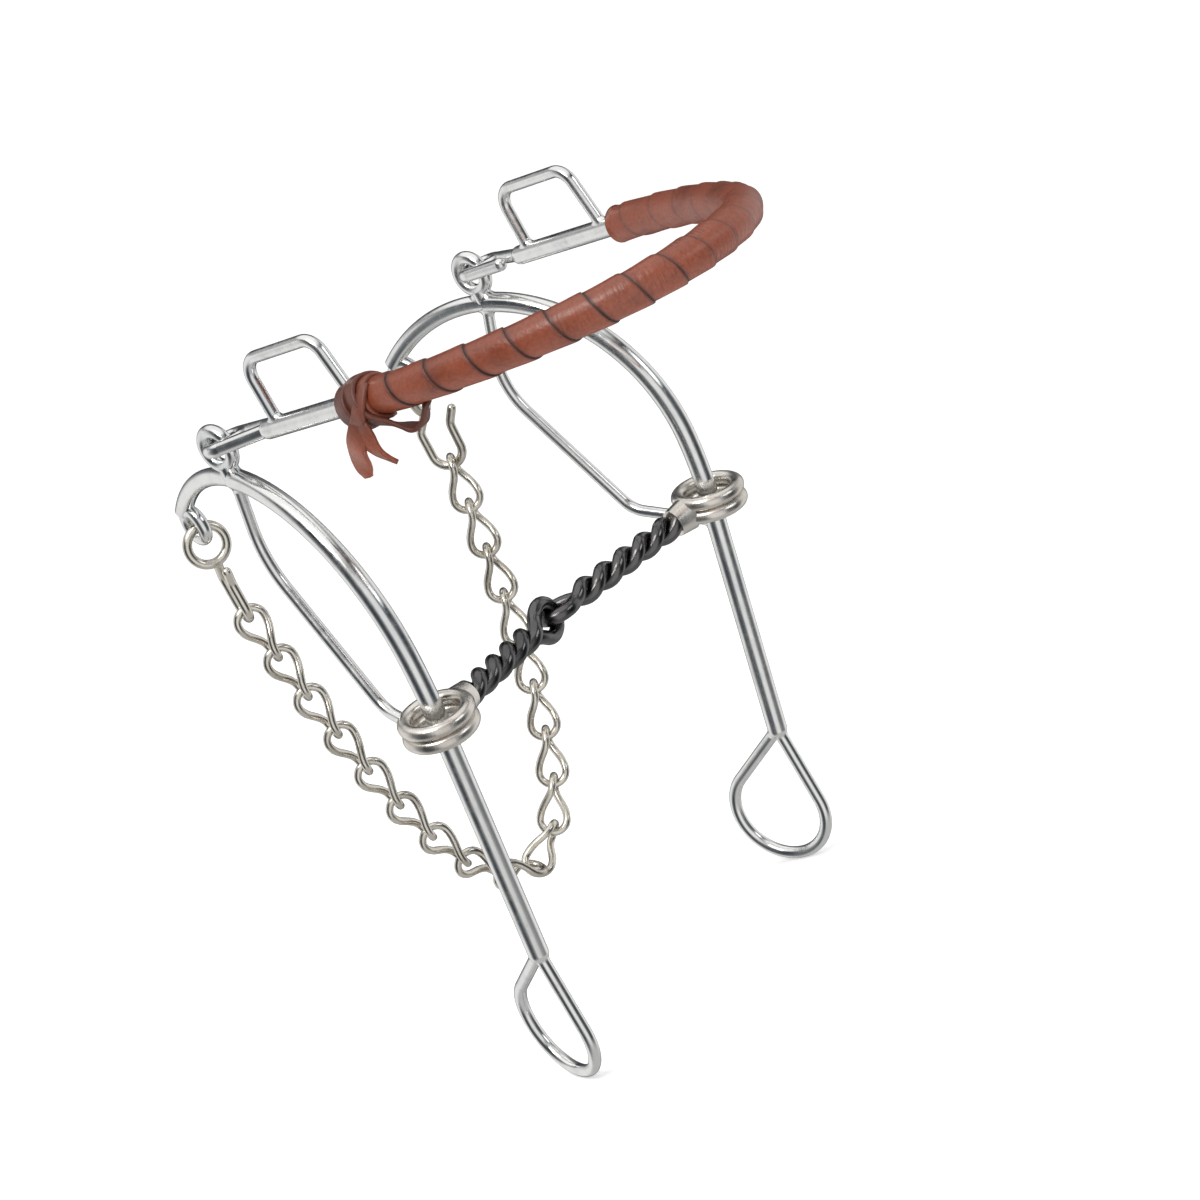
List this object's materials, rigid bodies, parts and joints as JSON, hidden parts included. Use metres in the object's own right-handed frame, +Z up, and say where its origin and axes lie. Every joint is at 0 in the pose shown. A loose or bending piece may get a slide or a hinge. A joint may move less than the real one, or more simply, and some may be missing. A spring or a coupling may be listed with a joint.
{
  "type": "combination gag hackamore",
  "caption": "Riding hackamore with a leather-wrapped rod noseband, gag cheeks, sliding rings, a jointed twisted mouthpiece and a curb chain.",
  "frame": {"origin": "where the nose rests: the inner face of the wrapped noseband at its foremost point", "axes": "+X to the horse's right, +Y forward, +Z up along the hanging cheeks"},
  "size_m": [0.1778, 0.2481, 0.2824],
  "materials": {
    "polished_steel": "polished stainless steel",
    "ring_steel": "satin, warm silver",
    "blued_wire": "glossy blackened steel wire",
    "nickel": "nickel plated, warm",
    "leather": "reddish brown, smooth"
  },
  "bodies": {
    "noseband": {"noseband_core": "polished_steel", "noseband_wrap": "leather", "wrap_knot": "leather", "headstall_loop_right": "polished_steel", "headstall_loop_left": "polished_steel"},
    "right_cheek": {"cheek_ring_right": "polished_steel", "cheek_bow_right": "polished_steel", "curb_arm_right": "polished_steel", "brace_right": "polished_steel", "rein_loop_right": "polished_steel"},
    "mouth_right": {"mouth_ring_right": "ring_steel", "mouth_ferrule_right": "ring_steel", "mouth_bar_right": "blued_wire"},
    "hook_right": {"curb_hook_right": "nickel"},
    "left_cheek": {"cheek_ring_left": "polished_steel", "cheek_bow_left": "polished_steel", "curb_arm_left": "polished_steel", "brace_left": "polished_steel", "rein_loop_left": "polished_steel"},
    "mouth_left": {"mouth_ring_left": "ring_steel", "mouth_ferrule_left": "ring_steel", "mouth_bar_left": "blued_wire"},
    "hook_left": {"curb_hook_left": "nickel"},
    "link_01": {"curb_link_01": "nickel"},
    "link_02": {"curb_link_02": "nickel"},
    "link_03": {"curb_link_03": "nickel"},
    "link_04": {"curb_link_04": "nickel"},
    "link_05": {"curb_link_05": "nickel"},
    "link_06": {"curb_link_06": "nickel"},
    "link_07": {"curb_link_07": "nickel"},
    "link_08": {"curb_link_08": "nickel"},
    "link_09": {"curb_link_09": "nickel"},
    "link_10": {"curb_link_10": "nickel"},
    "link_11": {"curb_link_11": "nickel"},
    "link_12": {"curb_link_12": "nickel"},
    "link_13": {"curb_link_13": "nickel"},
    "link_14": {"curb_link_14": "nickel"},
    "link_15": {"curb_link_15": "nickel"},
    "link_16": {"curb_link_16": "nickel"},
    "link_17": {"curb_link_17": "nickel"},
    "link_18": {"curb_link_18": "nickel"}
  },
  "joints": [
    {"name": "cheek_swing_right", "type": "hinge", "parent": "noseband", "child": "right_cheek", "pos_m": [0.066, -0.1777, 0], "axis": [1, 0, 0], "range_deg": [-35, 30]},
    {"name": "hook_swing_right", "type": "hinge", "parent": "right_cheek", "child": "hook_right", "pos_m": [0.05646, -0.2277, -0.0341], "axis": [1, 0, 0], "range_deg": [-10, 10]},
    {"name": "cheek_swing_left", "type": "hinge", "parent": "noseband", "child": "left_cheek", "pos_m": [-0.066, -0.1777, 0], "axis": [1, 0, 0], "range_deg": [-35, 30]},
    {"name": "hook_swing_left", "type": "hinge", "parent": "left_cheek", "child": "hook_left", "pos_m": [-0.05646, -0.2277, -0.0341], "axis": [1, 0, 0], "range_deg": [-10, 10]},
    {"name": "mouth_slide", "type": "hinge", "parent": "right_cheek", "child": "mouth_right", "pos_m": [0.06304, -0.19322, -0.0799], "axis": [1, 0, 0], "range_deg": [0, 30]},
    {"name": "mouth_fold", "type": "hinge", "parent": "mouth_right", "child": "mouth_left", "pos_m": [0, -0.14593, -0.1102], "axis": [0, 0, 1], "range_deg": [-3, 0.5]},
    {"name": "link_swing_01", "type": "hinge", "parent": "hook_right", "child": "link_01", "pos_m": [0.05646, -0.2277, -0.0648], "axis": [1, 0, 0], "range_deg": [-4, 4]},
    {"name": "link_swing_02", "type": "hinge", "parent": "link_01", "child": "link_02", "pos_m": [0.05406, -0.2277, -0.08304], "axis": [1, 0, 0], "range_deg": [-4, 4]},
    {"name": "link_swing_03", "type": "hinge", "parent": "link_02", "child": "link_03", "pos_m": [0.05135, -0.2277, -0.10123], "axis": [1, 0, 0], "range_deg": [-4, 4]},
    {"name": "link_swing_04", "type": "hinge", "parent": "link_03", "child": "link_04", "pos_m": [0.04823, -0.2277, -0.11936], "axis": [1, 0, 0], "range_deg": [-4, 4]},
    {"name": "link_swing_05", "type": "hinge", "parent": "link_04", "child": "link_05", "pos_m": [0.04456, -0.2277, -0.13739], "axis": [1, 0, 0], "range_deg": [-4, 4]},
    {"name": "link_swing_06", "type": "hinge", "parent": "link_05", "child": "link_06", "pos_m": [0.04012, -0.2277, -0.15523], "axis": [1, 0, 0], "range_deg": [-4, 4]},
    {"name": "link_swing_07", "type": "hinge", "parent": "link_06", "child": "link_07", "pos_m": [0.03452, -0.2277, -0.17274], "axis": [1, 0, 0], "range_deg": [-4, 4]},
    {"name": "link_swing_08", "type": "hinge", "parent": "link_07", "child": "link_08", "pos_m": [0.02702, -0.2277, -0.18951], "axis": [1, 0, 0], "range_deg": [-4, 4]},
    {"name": "link_swing_09", "type": "hinge", "parent": "link_08", "child": "link_09", "pos_m": [0.01606, -0.2277, -0.2042], "axis": [1, 0, 0], "range_deg": [-4, 4]},
    {"name": "link_swing_10", "type": "hinge", "parent": "hook_left", "child": "link_10", "pos_m": [-0.05646, -0.2277, -0.0648], "axis": [1, 0, 0], "range_deg": [-4, 4]},
    {"name": "link_swing_11", "type": "hinge", "parent": "link_10", "child": "link_11", "pos_m": [-0.05406, -0.2277, -0.08304], "axis": [1, 0, 0], "range_deg": [-4, 4]},
    {"name": "link_swing_12", "type": "hinge", "parent": "link_11", "child": "link_12", "pos_m": [-0.05135, -0.2277, -0.10123], "axis": [1, 0, 0], "range_deg": [-4, 4]},
    {"name": "link_swing_13", "type": "hinge", "parent": "link_12", "child": "link_13", "pos_m": [-0.04823, -0.2277, -0.11936], "axis": [1, 0, 0], "range_deg": [-4, 4]},
    {"name": "link_swing_14", "type": "hinge", "parent": "link_13", "child": "link_14", "pos_m": [-0.04456, -0.2277, -0.13739], "axis": [1, 0, 0], "range_deg": [-4, 4]},
    {"name": "link_swing_15", "type": "hinge", "parent": "link_14", "child": "link_15", "pos_m": [-0.04012, -0.2277, -0.15523], "axis": [1, 0, 0], "range_deg": [-4, 4]},
    {"name": "link_swing_16", "type": "hinge", "parent": "link_15", "child": "link_16", "pos_m": [-0.03452, -0.2277, -0.17274], "axis": [1, 0, 0], "range_deg": [-4, 4]},
    {"name": "link_swing_17", "type": "hinge", "parent": "link_16", "child": "link_17", "pos_m": [-0.02702, -0.2277, -0.18951], "axis": [1, 0, 0], "range_deg": [-4, 4]},
    {"name": "link_swing_18", "type": "hinge", "parent": "link_17", "child": "link_18", "pos_m": [-0.01606, -0.2277, -0.2042], "axis": [1, 0, 0], "range_deg": [-4, 4]}
  ],
  "couplings": [
    {"joint": "cheek_swing_left", "follows": "cheek_swing_right", "ratio": 1},
    {"joint": "hook_swing_left", "follows": "hook_swing_right", "ratio": 1},
    {"joint": "link_swing_10", "follows": "link_swing_01", "ratio": 1},
    {"joint": "link_swing_11", "follows": "link_swing_02", "ratio": 1},
    {"joint": "link_swing_12", "follows": "link_swing_03", "ratio": 1},
    {"joint": "link_swing_13", "follows": "link_swing_04", "ratio": 1},
    {"joint": "link_swing_14", "follows": "link_swing_05", "ratio": 1},
    {"joint": "link_swing_15", "follows": "link_swing_06", "ratio": 1},
    {"joint": "link_swing_16", "follows": "link_swing_07", "ratio": 1},
    {"joint": "link_swing_17", "follows": "link_swing_08", "ratio": 1},
    {"joint": "link_swing_18", "follows": "link_swing_09", "ratio": 1}
  ]
}
